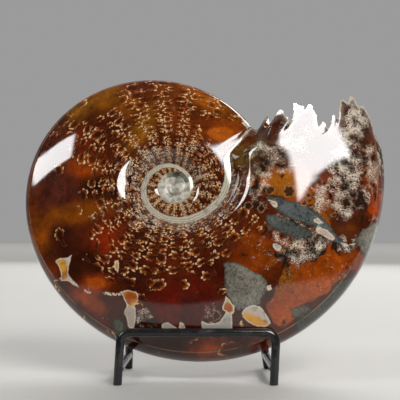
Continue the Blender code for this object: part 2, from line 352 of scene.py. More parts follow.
# Where the veins turn gold, as the areas above
VEIN_GLOWS = (
    (61, 270, 5, 9, 0, 1.0), (116, 267, 2.5, 6, 0, 1.0), (131, 298, 6, 6, 0, 1.0),
    (254, 321, 14, 4, -25, 1.0), (228, 308, 4, 4, 0, 0.9), (183, 326, 2, 3, 0, 0.8),
    (322, 225, 3, 2, 0, 0.5),
)
# How far past the end of the spiral a place still counts as on the last whorl or as beside
# the seam, in degrees, and the distance to a seam where there is none, in mm
PAST_THE_END = 15
PAST_THE_SEAM = 5
NO_SEAM = 99.0
# Small dark flowers with a pale edge: (across, down, radius, lobes)
FLOWERS = (
    (270, 190, 4.4, 4), (289, 191.5, 6.4, 6), (303.5, 203.5, 3.6, 5), (308.5, 196, 2.6, 3),
    (238, 206, 4.0, 4), (248.5, 206, 4.2, 5), (261.5, 208.5, 4.4, 4), (216, 315, 5.0, 6),
)
# Places on the map "face": ochre specks in the clear amber, and two spots of the hub
SPECKLED_AMBER = (2.80, 2.73, 0)
MOSSY_SPOT = (1.79, 1.725, 0)
BARE_SPOT = (1.715, 1.905, 0)
# The far side shows much the same stone, but shifted: (reach, length of the wave)
FAR_SIDE_ACROSS = (11, 31)
FAR_SIDE_DOWN = (13, 27)
FAR_SIDE_COLUMNS = 40.37
FAR_SIDE_FACE = 10


def smooth_curve(points, x):
    """A curve through the points that never overshoots between two of them."""
    xs, ys = np.array(points, float).T
    slopes = np.diff(ys) / np.diff(xs)
    before, after = slopes[:-1], slopes[1:]
    total = np.where(before + after == 0, 1.0, before + after)
    inner = np.where(before * after > 0, 2 * before * after / total, 0.0)
    tangents = np.concatenate((slopes[:1], inner, slopes[-1:]))
    x = np.clip(x, xs[0], xs[-1])
    i = np.clip(np.searchsorted(xs, x, side="right") - 1, 0, len(slopes) - 1)
    width = xs[i + 1] - xs[i]
    t = (x - xs[i]) / width
    return ((1 + 2 * t) * (1 - t) ** 2 * ys[i] + t * (1 - t) ** 2 * width * tangents[i]
            + t * t * (3 - 2 * t) * ys[i + 1] + t * t * (t - 1) * width * tangents[i + 1])


def smooth_step(low, high, x):
    t = np.clip((x - low) / (high - low), 0, 1)
    return t * t * (3 - 2 * t)


def rim_radius(angle):
    wobble = 0.0
    for times, (cosine, sine) in enumerate(RIM_WOBBLE, start=1):
        turned = np.radians(times * angle)
        wobble = wobble + cosine * np.cos(turned) + sine * np.sin(turned)
    return RIM_AT_ZERO * GROWTH_PER_TURN ** (angle / 360) * np.exp(wobble)


def seam_radius(angle):
    return smooth_curve(SEAM_POINTS, angle)


def coil_rim(angle):
    """The rim, which stands at least a little past the next whorl's seam."""
    return np.maximum(rim_radius(angle), HUB_RIM * seam_radius(angle + 360))


def half_thickness(angle):
    return np.maximum(HUB_CREST, HALF_THICKNESS_AT_ZERO * GROWTH_PER_TURN ** (angle / 360))


def open_share(angle):
    """How far across the whorl the next one leaves it bare."""
    seam = seam_radius(angle)
    bare = (seam_radius(angle + 360) - seam) / (coil_rim(angle) - seam)
    return np.where(angle + 360 > LAST_ANGLE - 0.01, 1.0, bare)


def section_height(share, foot):
    """Height of the flank, 1 at the crest and foot at the seam."""
    climb = 1 - np.clip(1 - share / CREST_SHARE, 0, 1) ** WALL_POWER
    wall = foot + (1 - foot) * climb
    fall = np.clip((share - CREST_SHARE) / (RIDGE_SHARE - CREST_SHARE), 0, 1)
    flank = 1 - (1 - RIDGE_HEIGHT) * fall ** FLANK_POWER
    venter = np.clip((share - RIDGE_SHARE) / (1 - RIDGE_SHARE), 0, 1)
    keel = RIDGE_HEIGHT * (1 - venter) ** VENTER_POWER
    return np.where(share < CREST_SHARE, wall, np.where(share < RIDGE_SHARE, flank, keel))


def hub_height(angle, part_of_open):
    """The low coils of the hub, which end level with the shell's first full turn."""
    coil = np.sin(math.pi * part_of_open)
    full = smooth_step(FIRST_FULL_ANGLE - HUB_BLEND, FIRST_FULL_ANGLE, angle)
    dome = np.where(part_of_open < 0.5, coil, 1 - (1 - full) * (1 - coil))
    return HUB_HEIGHT + (HUB_CREST - HUB_HEIGHT) * dome


def seam_height(angle):
    """Height of the whorl before, where this whorl's seam lies on it."""
    before = angle - 360
    shell = half_thickness(before) * section_height(open_share(before), 0)
    return np.where(before < FIRST_FULL_ANGLE, hub_height(before, 1.0), shell)


def flank_height(angle, share):
    """Distance of the surface from the middle plane of the disc."""
    crest = half_thickness(angle)
    shell = crest * section_height(share, seam_height(angle) / crest)
    return np.where(angle < FIRST_FULL_ANGLE, hub_height(angle, share / open_share(angle)), shell)


def spread_rows(row):
    """Rows lie a little closer together at the seam and at the rim."""
    return EVEN_ROWS * row + (1 - EVEN_ROWS) * (1 - np.cos(math.pi * row)) / 2


def flat_grid(columns, rows):
    """A grid with X and Y both from 0 to 1."""
    bm = bmesh.new()
    bmesh.ops.create_grid(bm, x_segments=columns, y_segments=rows, size=0.5)
    bmesh.ops.translate(bm, verts=bm.verts, vec=(0.5, 0.5, 0))
    return bm


def grid_places(bm):
    return np.array([vert.co for vert in bm.verts])


def move_vertices(bm, places):
    for vert, place in zip(bm.verts, places.tolist()):
        vert.co = place


def knob_arc(before, centre, after, radius):
    """The outline round one knob, from its neighbour on one side to that on the other."""
    start = math.atan2(*(before - centre)[::-1])
    sweep = (start - math.atan2(*(after - centre)[::-1])) % math.tau
    neck = KNOB_NECK * sweep
    steps = max(4, round(sweep / KNOB_STEP))
    turns = start - neck - (sweep - 2 * neck) * np.linspace(0, 1, steps)
    return [centre + radius * np.array((math.cos(turn), math.sin(turn))) for turn in turns]


def break_outline(count):
    """Evenly spaced points along the broken edge, in the plane of the disc."""
    corners = []
    for radius, angle, knob in BREAK_EDGE:
        turn = math.radians(angle)
        corners.append(np.array((math.cos(turn), math.sin(turn))) * radius / 1000)
    path = []
    for i, corner in enumerate(corners):
        knob = BREAK_EDGE[i][2] / 1000
        if knob:
            path.extend(knob_arc(corners[i - 1], corner, corners[i + 1], knob))
        else:
            path.append(corner)
    path = np.array(path)
    walked = np.concatenate(([0], np.cumsum(np.linalg.norm(np.diff(path, axis=0), axis=1))))
    wanted = np.linspace(0, walked[-1], count)
    return np.stack((np.interp(wanted, walked, path[:, 0]), np.interp(wanted, walked, path[:, 1])), axis=1)


def smoothed(path, reach):
    """The path with everything shorter than the reach, in points, smoothed away."""
    if reach < 1:
        return path
    weights = np.hanning(2 * reach + 3)
    weights /= weights.sum()
    before = 2 * path[0] - path[reach + 1:0:-1]
    after = 2 * path[-1] - path[-2:-reach - 3:-1]
    padded = np.concatenate((before, path, after))
    return np.stack([np.convolve(padded[:, k], weights, mode="valid") for k in range(2)], axis=1)


def polar_places(places, turns=0):
    """Radius and angle of places seen along the axis, after so many turns of the spiral."""
    x, y = places[:, 0], places[:, 1]
    return np.hypot(x, y), np.degrees(np.arctan2(y, x)) + 360 * turns


def share_of(path):
    """How far across the last whorl the points of a path lie."""
    radius, angle = polar_places(path, 1)
    seam = seam_radius(LAST_ANGLE)
    return np.clip((radius - seam) / (rim_radius(angle) - seam), 0, 1)


def off_the_seam(share):
    return smooth_step(0, 0.15, share)


def steady_share(angle, radius, rim, share):
    """The share that sets the height: out on the flank it doesn't follow the seam's last bend."""
    seam = seam_radius(np.minimum(angle, STEADY_ANGLE))
    steady = (radius - seam) / (rim - seam)
    return share + (steady - share) * smooth_step(*STEADY_SHARES, share)


def steady_angle(angle, turned, share):
    """The angle that sets the height: out on the flank it is the true one."""
    return angle + (turned - angle) * smooth_step(*STEADY_SHARES, share)


def edge_heights(path):
    """Distance of the outline of the break from the middle plane."""
    radius, angle = polar_places(path, 1)
    share = share_of(path)
    steady = np.clip(steady_share(LAST_ANGLE, radius, rim_radius(angle), share), 0, 1)
    height = flank_height(steady_angle(LAST_ANGLE, angle, share), steady)
    return height * (1 - EDGE_WEAR * off_the_seam(share))


def polar_point(radius, angle, height):
    turn = np.radians(angle)
    return np.stack((radius * np.cos(turn), radius * np.sin(turn), height), axis=-1)


EDGE_POINTS = ROWS * (EDGE_CUTS + 1) + 1
EDGE = break_outline(EDGE_POINTS)
EDGE_HEIGHT = edge_heights(EDGE)
COLUMN_ANGLES = [FIRST_ANGLE]
for part_start, part_end, part_step in COLUMN_PARTS:
    part_count = round((part_end - part_start) / part_step)
    COLUMN_ANGLES.extend(np.linspace(part_start, part_end, part_count + 1)[1:])
FULL_COLUMNS = len(COLUMN_ANGLES) - 1
# Rows near the break drift to where the outline needs them
EDGE_SHARES = np.maximum.accumulate(share_of(smoothed(EDGE, ROW_SOFTENING)))[::EDGE_CUTS + 1]
EDGE_SHARES[0], EDGE_SHARES[-1] = 0.0, 1.0


def row_shares(angle, row):
    even = spread_rows(row)
    drifted = np.interp(row, np.linspace(0, 1, ROWS + 1), EDGE_SHARES)
    return even + (drifted - even) * smooth_step(ROWS_DRIFT_FROM, FEET_ANGLE, angle)


def drawn_in(angle, share):
    """Draws the last columns in to the feet of the broken edge."""
    reach = smooth_curve(BREAK_FEET, share) - BREAK_STARTS
    past = (angle - BREAK_STARTS) / (FEET_ANGLE - BREAK_STARTS)
    return np.where(angle > BREAK_STARTS, BREAK_STARTS + reach * past, angle)


def off_the_rim(share):
    return 1 - smooth_step(0.85, 1, share)


def ripple(places, share):
    """The slight unevenness of a stone polished by hand."""
    x, y = places[:, 0] * 1000, places[:, 1] * 1000
    slow = np.sin(x / 9.1 + 1.3 * np.sin(y / 13.7)) * np.sin(y / 10.3 + 0.7 + 1.1 * np.sin(x / 15.1))
    quick = np.sin(x / 3.9 + 1.9 * np.sin(y / 5.3 + 1)) * np.sin(y / 4.3 + 1.7 * np.sin(x / 6.1))
    return (RIPPLE_SLOW * slow + RIPPLE_QUICK * quick) * smooth_step(0, 0.1, share) * off_the_rim(share)


def worn_share(turned, share):
    """The flank falls away a little towards the broken edge."""
    fall = np.clip((turned - WEAR_STARTS) / (WEAR_ENDS - WEAR_STARTS), 0, 1.3)
    return 1 - FEET_WEAR * fall ** 2 * off_the_seam(share) * off_the_rim(share)


def flank_places(angle, row):
    """Places on the flank of the shell, as far as the feet of the broken edge."""
    share = row_shares(angle, row) * open_share(angle)
    turned = drawn_in(angle, share)
    seam = seam_radius(angle)
    rim = np.where(angle < FIRST_FULL_ANGLE, coil_rim(angle), rim_radius(turned))
    radius = seam + (rim - seam) * share
    height_share = np.where(angle > BREAK_STARTS, steady_share(angle, radius, rim, share), share)
    height = flank_height(steady_angle(angle, turned, share), height_share) * worn_share(turned, share)
    places = polar_point(radius, turned, height)
    places[:, 2] += ripple(places, share)
    return places


def main_flank(side):
    """One side of the shell, from the hub to the feet of the broken edge."""
    bm = flat_grid(FULL_COLUMNS, ROWS)
    places = grid_places(bm)
    angle = np.array(COLUMN_ANGLES)[np.round(places[:, 0] * FULL_COLUMNS).astype(int)]
    spots = flank_places(angle, places[:, 1])
    spots[:, 2] *= side
    move_vertices(bm, spots)
    return bm


def broken_flank(side):
    """The strip of one side from the feet out to the jagged outline."""
    bm = flat_grid(EDGE_COLUMNS, ROWS)
    edges = [e for e in bm.edges if min(v.co.x for v in e.verts) > 1 - 1e-4]
    bmesh.ops.subdivide_edges(bm, edges=edges, cuts=EDGE_CUTS)
    places = grid_places(bm)
    out, row = places[:, 0], places[:, 1]
    feet = flank_places(np.full(len(row), FEET_ANGLE), row)
    along = row * (EDGE_POINTS - 1)
    points = np.arange(EDGE_POINTS)
    soft_edge = smoothed(EDGE, STRIP_SOFTENING)
    spots = np.empty((len(row), 3))
    knobby = smooth_step(KNOBS_FROM, 1.0, out)
    for axis in range(2):
        line = np.interp(along, points, soft_edge[:, axis])
        line += knobby * (np.interp(along, points, EDGE[:, axis]) - line)
        spots[:, axis] = feet[:, axis] + out * (line - feet[:, axis])
    edge_height = np.interp(along, points, EDGE_HEIGHT)
    spots[:, 2] = feet[:, 2] + out ** 1.15 * (edge_height - feet[:, 2])
    spots[:, 2] *= side
    move_vertices(bm, spots)
    return bm


def break_face():
    """The fluted face of the break, from one jagged edge down into its trough and up to the other."""
    bm = flat_grid(EDGE_POINTS - 1, FACE_ROWS)
    places = grid_places(bm)
    index = np.round(places[:, 0] * (EDGE_POINTS - 1)).astype(int)
    across = 2 * places[:, 1] - 1
    across = np.sign(across) * (1 - (1 - np.abs(across)) ** 1.5)
    share = share_of(EDGE)
    seam = seam_radius(LAST_ANGLE)
    trough_angle = smooth_curve(TROUGH, share)
    trough = polar_point(seam + (rim_radius(trough_angle) - seam) * share, trough_angle, EDGE_HEIGHT)[:, :2]
    levels = np.array([smoothed(EDGE, reach) for reach in FACE_SOFTENING])
    depth = 1 - np.abs(across)
    sink = smooth_step(0.0, 1.0, depth) ** 0.8
    level = np.clip(depth * 2.2, 0, 1) * (len(levels) - 1)
    low = np.floor(level).astype(int)
    high = np.minimum(low + 1, len(levels) - 1)
    spots = np.empty((len(index), 3))
    for axis in range(2):
        line = levels[low, index, axis] * (1 - (level - low)) + levels[high, index, axis] * (level - low)
        spots[:, axis] = line + sink * (trough[index, axis] - line)
    spots[:, 2] = across * EDGE_HEIGHT[index]
    move_vertices(bm, spots)
    return bm


def add_to(whole, part):
    mesh = bpy.data.meshes.new("part")
    part.to_mesh(mesh)
    part.free()
    whole.from_mesh(mesh)
    bpy.data.meshes.remove(mesh)


def fossil_placement():
    turn = Euler((math.pi / 2 - LEAN_BACK, 0, -TURN_LEFT)).to_matrix().to_4x4()
    return Matrix.Translation(FOSSIL_CENTRE) @ turn


def make_ammonite():
    whole = bmesh.new()
    for side in (1, -1):
        add_to(whole, main_flank(side))
        add_to(whole, broken_flank(side))
    add_to(whole, break_face())
    bmesh.ops.remove_doubles(whole, verts=whole.verts, dist=MERGE_DISTANCE)
    open_edges = [e for e in whole.edges if e.is_boundary]
    hubs = bmesh.ops.holes_fill(whole, edges=open_edges, sides=0)["faces"]
    bmesh.ops.triangulate(whole, faces=hubs)
    bmesh.ops.recalc_face_normals(whole, faces=whole.faces)
    if whole.calc_volume(signed=True) < 0:
        bmesh.ops.reverse_faces(whole, faces=whole.faces)
    bmesh.ops.transform(whole, matrix=fossil_placement(), verts=whole.verts)
    return finish_piece("polished_ammonite", whole, FOSSIL_CREASE)


def front_view(places):
    """Where points of the row frame lie in the front view, across and down."""
    turn = Euler((CAMERA_TILT, 0, 0)).to_matrix()
    right, up, back = (np.array(turn.col[k]) for k in range(3))
    seen = places - np.array(CAMERA_PLACE)
    depth = -seen @ back
    across = VIEW_SIZE / 2 + PIXELS_PER_SLOPE * (seen @ right) / depth
    down = VIEW_SIZE / 2 - PIXELS_PER_SLOPE * (seen @ up) / depth
    return across, down


def patch(across, down, area, softness):
    """1 in the middle of a patch, fading to 0 outside it."""
    x, y, half_width, half_height, turned = area[:5]
    turn = math.radians(-turned)
    dx, dy = across - x, down - y
    along = (dx * math.cos(turn) + dy * math.sin(turn)) / half_width
    over = (dy * math.cos(turn) - dx * math.sin(turn)) / half_height
    return np.exp(-(along ** 2 + over ** 2) * softness)


def from_screen(colour):
    """The stone colour that shows as this colour of a screen under the softboxes."""
    value = np.array(colour) / 255
    return LIT_SHARE * np.where(value < 0.04045, value / 12.92, ((value + 0.055) / 1.055) ** 2.4)


def cloud_colours(across, down):
    total = np.full(len(across), GROUND_WEIGHT)
    colour = total[:, None] * from_screen(GROUND)
    for cloud in CLOUDS:
        weight = patch(across, down, cloud, CLOUD_SOFTNESS)
        total += weight
        colour += weight[:, None] * from_screen(cloud[5])
    return colour / total[:, None]


def area_density(across, down, areas):
    density = np.zeros(len(across))
    for area in areas:
        share = np.clip(AREA_STRENGTH * patch(across, down, area, AREA_SOFTNESS), 0, 1)
        density = np.maximum(density, area[5] * share)
    return density


def depth_in_patch(across, down, corners):
    """Distance to a patch's outline in the front view, below 0 inside it."""
    nearest = np.full(len(across), FAR_OFF)
    inside = np.zeros(len(across), bool)
    for (x0, y0), (x1, y1) in zip(corners, corners[1:] + corners[:1]):
        dx, dy = x1 - x0, y1 - y0
        along = np.clip(((across - x0) * dx + (down - y0) * dy) / (dx * dx + dy * dy), 0, 1)
        nearest = np.minimum(nearest, np.hypot(across - x0 - along * dx, down - y0 - along * dy))
        if y0 != y1:
            crossing = (y0 > down) != (y1 > down)
            inside ^= crossing & (across < x0 + (down - y0) / dy * dx)
    return np.where(inside, -nearest, nearest)


def patch_colours(across, down, patches):
    """The colour of the nearest patch, with the distance to its outline."""
    result = np.zeros((len(across), 4))
    result[:, 3] = FAR_OFF
    for colour, corners in patches:
        near = np.ones(len(across), bool)
        for place, edge in zip((across, down), zip(*corners)):
            near &= (place > min(edge) - PATCH_MARGIN) & (place < max(edge) + PATCH_MARGIN)
        depth = np.full(len(across), FAR_OFF)
        depth[near] = depth_in_patch(across[near], down[near], corners)
        nearer = depth < result[:, 3]
        result[nearer, :3] = from_screen(colour)
        result[nearer, 3] = depth[nearer]
    return result


def surface_places(mesh):
    places = np.empty(len(mesh.vertices) * 3)
    mesh.vertices.foreach_get("co", places)
    places = places.reshape(-1, 3)
    to_disc = np.array(fossil_placement().inverted())
    return places, places @ to_disc[:3, :3].T + to_disc[:3, 3]


def vertex_of_corner(mesh):
    corner_vertex = np.empty(len(mesh.loops), int)
    mesh.loops.foreach_get("vertex_index", corner_vertex)
    return corner_vertex


def add_spiral_places(mesh, disc):
    """Maps that follow the shell: suture columns and rings, and the distance to each seam."""
    corner_vertex = vertex_of_corner(mesh)
    face_size = np.empty(len(mesh.polygons), int)
    mesh.polygons.foreach_get("loop_total", face_size)
    face_of_corner = np.repeat(np.arange(len(face_size)), face_size)
    centre = np.stack([np.bincount(face_of_corner, disc[corner_vertex, k]) for k in range(3)], axis=1)
    centre /= face_size[:, None]
    radius, angle = polar_places(centre, -2)
    for _ in range(WHORLS):
        further = (angle + 360 < LAST_ANGLE + PAST_THE_END) & (radius > seam_radius(angle + 360))
        angle = np.where(further, angle + 360, angle)
    corner_radius, corner_angle = polar_places(disc[corner_vertex])
    corner_angle += 360 * np.round((angle[face_of_corner] - corner_angle) / 360)
    corner_radius = np.maximum(corner_radius, 1e-4)
    back = centre[face_of_corner, 2] < 0
    columns = (corner_angle - FIRST_COLUMN) / COLUMN_ANGLE + np.where(back, FAR_SIDE_COLUMNS, 0)
    set_uv(mesh, "whorl", columns, np.log(corner_radius * 1000) / RING_GROWTH)
    inner = (corner_radius - seam_radius(corner_angle)) * 1000
    outer = (seam_radius(corner_angle + 360) - corner_radius) * 1000
    outer = np.where(corner_angle + 360 > LAST_ANGLE + PAST_THE_SEAM, NO_SEAM, outer)
    set_uv(mesh, "seams", inner, outer)


def add_surface_data(piece):
    """Gives the fossil's surface its places along the spiral and its marks in the front view."""
    mesh = piece.data
    places, disc = surface_places(mesh)
    add_spiral_places(mesh, disc)
    across, down = front_view(places)
    back = disc[:, 2] < 0
    corner_vertex = vertex_of_corner(mesh)
    face_across = across / 100 + np.where(back, FAR_SIDE_FACE, 0)
    set_uv(mesh, "face", face_across[corner_vertex], down[corner_vertex] / 100)
    reach_across, wave_down = FAR_SIDE_ACROSS
    reach_down, wave_across = FAR_SIDE_DOWN
    shifted = (across + np.where(back, reach_across * np.sin(down / wave_down + 1), 0),
               down + np.where(back, reach_down * np.sin(across / wave_across), 0))
    clouds = np.ones((len(disc), 4))
    clouds[:, :3] = cloud_colours(*shifted)
    set_colour(mesh, "clouds", clouds)
    sutures = area_density(*shifted, SUTURE_AREAS) * (1 - area_density(*shifted, SUTURE_GAPS))
    set_float(mesh, "sutures", np.maximum(sutures, FEWEST_SUTURES))
    set_float(mesh, "dendrites", area_density(*shifted, DENDRITE_AREAS))
    set_float(mesh, "vein_glow", area_density(*shifted, VEIN_GLOWS))
    set_float(mesh, "to_break", distance_to_break(disc))
    set_float(mesh, "to_ridge", distance_to_ridge(disc))
    for name, patches in (("matrix", MATRIX_PATCHES), ("veins", VEIN_PATCHES), ("amber", AMBER_PATCHES)):
        set_colour(mesh, name, patch_colours(*shifted, patches))


def distance_to_break(disc):
    """Distance to the broken outline in mm, below 0 on the face of the break."""
    distance = np.full(len(disc), FAR_OFF)
    # the break lies in one quarter of the disc
    near = np.nonzero((disc[:, 0] > 0.012) & (disc[:, 1] > -0.002))[0]
    flat = disc[near, :2]
    nearest = np.full(len(near), 1.0)
    for point in EDGE:
        nearest = np.minimum(nearest, np.hypot(flat[:, 0] - point[0], flat[:, 1] - point[1]))
    radius, angle = polar_places(flat, 1)
    seam = seam_radius(angle)
    share = np.clip((radius - seam) / (rim_radius(angle) - seam), 0, 1)
    surface_height = np.minimum(edge_heights(flat), flank_height(angle, share))
    height = np.abs(disc[near, 2])
    sunk = height < FACE_SHARE * surface_height - FACE_DEPTH
    sunk &= (radius > seam_radius(LAST_ANGLE)) & (nearest < FACE_REACH)
    distance[near] = np.where(sunk, FACE_MARK - 1000 * (surface_height - height), 1000 * nearest)
    return distance


def distance_to_ridge(disc):
    """Distance outwards from the ridge that edges the flanks, in mm, on the last whorl."""
    radius, angle = polar_places(disc)
    angle = angle % 360
    angle = np.where((angle < OVERLAP_ENDS) & (radius > seam_radius(angle + 360)), angle + 360, angle)
    seam = seam_radius(angle)
    return 1000 * (radius - seam - RIDGE_SHARE * (rim_radius(angle) - seam))


def set_colour(mesh, name, colours):
    layer = mesh.attributes.new(name, "FLOAT_COLOR", "POINT")
    layer.data.foreach_set("color", colours.ravel())


def set_uv(mesh, name, u, v):
    layer = mesh.uv_layers.new(name=name)
    layer.data.foreach_set("uv", np.stack((u, v), axis=1).ravel())


def set_float(mesh, name, values):
    layer = mesh.attributes.new(name, "FLOAT", "POINT")
    layer.data.foreach_set("value", values)


def rounded_path(corners, bend_radius):
    """The corners of a rod's middle line, with every bend turned into an arc."""
    path = [corners[0]]
    for before, corner, after in zip(corners, corners[1:], corners[2:]):
        back = (before - corner).normalized()
        ahead = (after - corner).normalized()
        half_bend = back.angle(ahead) / 2
        centre = corner + (back + ahead).normalized() * bend_radius / math.sin(half_bend)
        first = corner + back * bend_radius / math.tan(half_bend) - centre
        last = corner + ahead * bend_radius / math.tan(half_bend) - centre
        for step in range(BEND_STEPS + 1):
            spoke = first.slerp(last, step / BEND_STEPS).normalized()
            path.append(centre + spoke * bend_radius)
    path.append(corners[-1])
    return path


def sweep_rod(path, radii):
    """A round bar along the path, with closed ends."""
    bm = bmesh.new()
    rings = []
    for i, (point, radius) in enumerate(zip(path, radii)):
        along = (path[min(i + 1, len(path) - 1)] - path[max(i - 1, 0)]).normalized()
        side = along.cross(Vector((0, 1, 0)))
        if side.length < 0.5:
            side = along.cross(Vector((0, 0, 1)))
        side.normalize()
        turn = Matrix((side, along.cross(side), along)).transposed().to_4x4()
        ring = bmesh.ops.create_circle(bm, radius=radius, segments=ROD_SIDES,
                                       matrix=Matrix.Translation(point) @ turn)
        rings.append(set(ring["verts"]))
    for first, second in zip(rings, rings[1:]):
        edges = [e for e in bm.edges if set(e.verts) <= first or set(e.verts) <= second]
        bmesh.ops.bridge_loops(bm, edges=edges)
    open_edges = [e for e in bm.edges if e.is_boundary]
    bmesh.ops.holes_fill(bm, edges=open_edges, sides=0)
    return bm


def make_hoop(name, corners):
    """A rod bent into an arch, its feet cut level and their edges eased."""
    corners = [Vector(corner) for corner in corners]
    for foot, knee in ((0, 1), (-1, -2)):
        leg = (corners[foot] - corners[knee]).normalized()
        corners[foot] = corners[foot] + leg * FOOT_SPARE * ROD_RADIUS
    path = rounded_path(corners, BEND_RADIUS)
    bm = sweep_rod(path, [ROD_RADIUS] * len(path))
    everything = bm.verts[:] + bm.edges[:] + bm.faces[:]
    bmesh.ops.bisect_plane(bm, geom=everything, plane_co=(0, 0, 0), plane_no=(0, 0, -1),
                           clear_outer=True)
    feet = [e for e in bm.edges if e.is_boundary]
    soles = bmesh.ops.holes_fill(bm, edges=feet, sides=0)["faces"]
    rims = [e for face in soles for e in face.edges]
    bmesh.ops.bevel(bm, geom=rims, offset=FOOT_EASE, affect="EDGES", segments=3, profile=0.5, material=-1)
    bmesh.ops.recalc_face_normals(bm, faces=bm.faces)
    return finish_piece(name, bm, ROD_CREASE)


def make_rail(name, foot):
    """A straight rod between two legs, its ends swelling into the welds."""
    knee = {0: 1, 3: 2}[foot]
    ends = []
    for hoop in (FRONT_HOOP, BACK_HOOP):
        low, high = Vector(hoop[foot]), Vector(hoop[knee])
        ends.append(low.lerp(high, RAIL_HEIGHT / high.z))
    front, back = ends
    along = (back - front).normalized()
    length = (back - front).length
    rings = []
    for step in range(RAIL_END_RINGS + 1):
        eased = 1 - math.cos(math.pi / 2 * step / RAIL_END_RINGS)
        swell = WELD_SWELL * math.exp(-(RAIL_END * eased / WELD_REACH) ** 2)
        rings.append((RAIL_STARTS + RAIL_END * eased, ROD_RADIUS + swell))
    rings += [(length - walked, radius) for walked, radius in reversed(rings)]
    bm = sweep_rod([front + along * walked for walked, _ in rings], [radius for _, radius in rings])
    bmesh.ops.recalc_face_normals(bm, faces=bm.faces)
    return finish_piece(name, bm, ROD_CREASE)


def finish_piece(name, bm, crease=30):
    mesh = bpy.data.meshes.new(name)
    bm.to_mesh(mesh)
    bm.free()
    mesh.shade_smooth()
    mesh.set_sharp_from_angle(angle=math.radians(crease))
    piece = bpy.data.objects.new(name, mesh)
    bpy.context.scene.collection.objects.link(piece)
    return piece


class Amount:
    """What a node gives out, to be reckoned with like a number."""

    def __init__(self, nodes, socket):
        self.nodes = nodes
        self.socket = socket

    def __add__(self, other):
        return self.nodes.maths("ADD", self, other)

    def __sub__(self, other):
        return self.nodes.maths("SUBTRACT", self, other)

    def __mul__(self, other):
        return self.nodes.maths("MULTIPLY", self, other)

    def __truediv__(self, other):
        return self.nodes.maths("DIVIDE", self, other)

    def __abs__(self):
        return self.nodes.maths("ABSOLUTE", self)


class Nodes:
    """A node tree and short ways to put its nodes together."""

    def __init__(self, tree):
        self.tree = tree

    def join(self, value, socket):
        if isinstance(value, Amount):
            self.tree.links.new(value.socket, socket)
        else:
            socket.default_value = value

    def node(self, kind, *values, inputs=None, give=(0,), **settings):
        """Makes a node, fills its inputs in turn or as named, and hands back its outputs."""
        made = self.tree.nodes.new(kind)
        for name, setting in settings.items():
            setattr(made, name, setting)
        for name, value in zip(range(len(values)) if inputs is None else inputs, values):
            self.join(value, made.inputs[name])
        given = [Amount(self, made.outputs[name]) for name in give]
        return given[0] if len(given) == 1 else given

    def maths(self, operation, *values):
        return self.node("ShaderNodeMath", *values, operation=operation)

    def vector(self, operation, *values):
        give = ("Value",) if operation in ("LENGTH", "DISTANCE") else ("Vector",)
        return self.node("ShaderNodeVectorMath", *values, give=give, operation=operation)

    def combine(self, x, y, z=0.0):
        return self.node("ShaderNodeCombineXYZ", x, y, z)

    def separate(self, vector):
        return self.node("ShaderNodeSeparateXYZ", vector, give=(0, 1, 2))

    def between(self, value, low, high):
        """0 at low, 1 at high, and smooth between them."""
        return self.node("ShaderNodeMapRange", value, low, high, interpolation_type="SMOOTHSTEP")


def sway(noise, reach):
    """A noise turned into a shift both ways."""
    return noise * reach - reach / 2


class Surface(Nodes):
    """A material of one shader, which reads the piece's own places."""

    def __init__(self, name):
        self.material = bpy.data.materials.new(name)
        self.material.use_nodes = True
        super().__init__(self.material.node_tree)
        self.spot = self.node("ShaderNodeTexCoord", give=("Object",))

    def noise(self, scale, detail, roughness, places=None, give="Fac"):
        return self.node("ShaderNodeTexNoise", places or self.spot, scale, detail, roughness,
                         inputs=("Vector", "Scale", "Detail", "Roughness"), give=(give,))

    def shaken(self, places, sampled, scale, detail, roughness, reach):
        """Places moved about by a noise."""
        noise = self.noise(scale, detail, roughness, sampled, "Color")
        shake = self.vector("SUBTRACT", noise, (0.5, 0.5, 0.5))
        return self.vector("MULTIPLY_ADD", shake, reach, places)

    def mix(self, share, first, second, how="MIX"):
        """A mix of two colours, given as light."""
        colours = [value if isinstance(value, Amount) else (*value, 1) for value in (first, second)]
        return self.node("ShaderNodeMix", share, *colours, inputs=(0, 6, 7), give=(2,),
                         data_type="RGBA", blend_type=how, clamp_factor=True)

    def tint(self, share, first, second):
        """A mix of two colours, given as a screen shows them."""
        colours = [from_screen(value) if isinstance(value, tuple) else value for value in (first, second)]
        return self.mix(share, *colours)

    def shaded(self, colour, red, green, blue):
        return self.mix(1.0, colour, self.combine(red, green, blue), "MULTIPLY")

    def uv(self, name):
        return self.node("ShaderNodeUVMap", uv_map=name)

    def attribute(self, name, *give):
        return self.node("ShaderNodeAttribute", give=give or ("Fac",), attribute_name=name)

    def finish(self, colour, rough, height, ior=None):
        """Sends the colour, the roughness and a height in metres to the shader."""
        shader = self.tree.nodes["Principled BSDF"]
        normal = self.node("ShaderNodeBump", 1.0, 1.0, height, inputs=("Strength", "Distance", "Height"))
        for name, value in (("Base Color", colour), ("Roughness", rough), ("Normal", normal)):
            self.join(value, shader.inputs[name])
        if ior is not None:
            shader.inputs["IOR"].default_value = ior
        return self.material


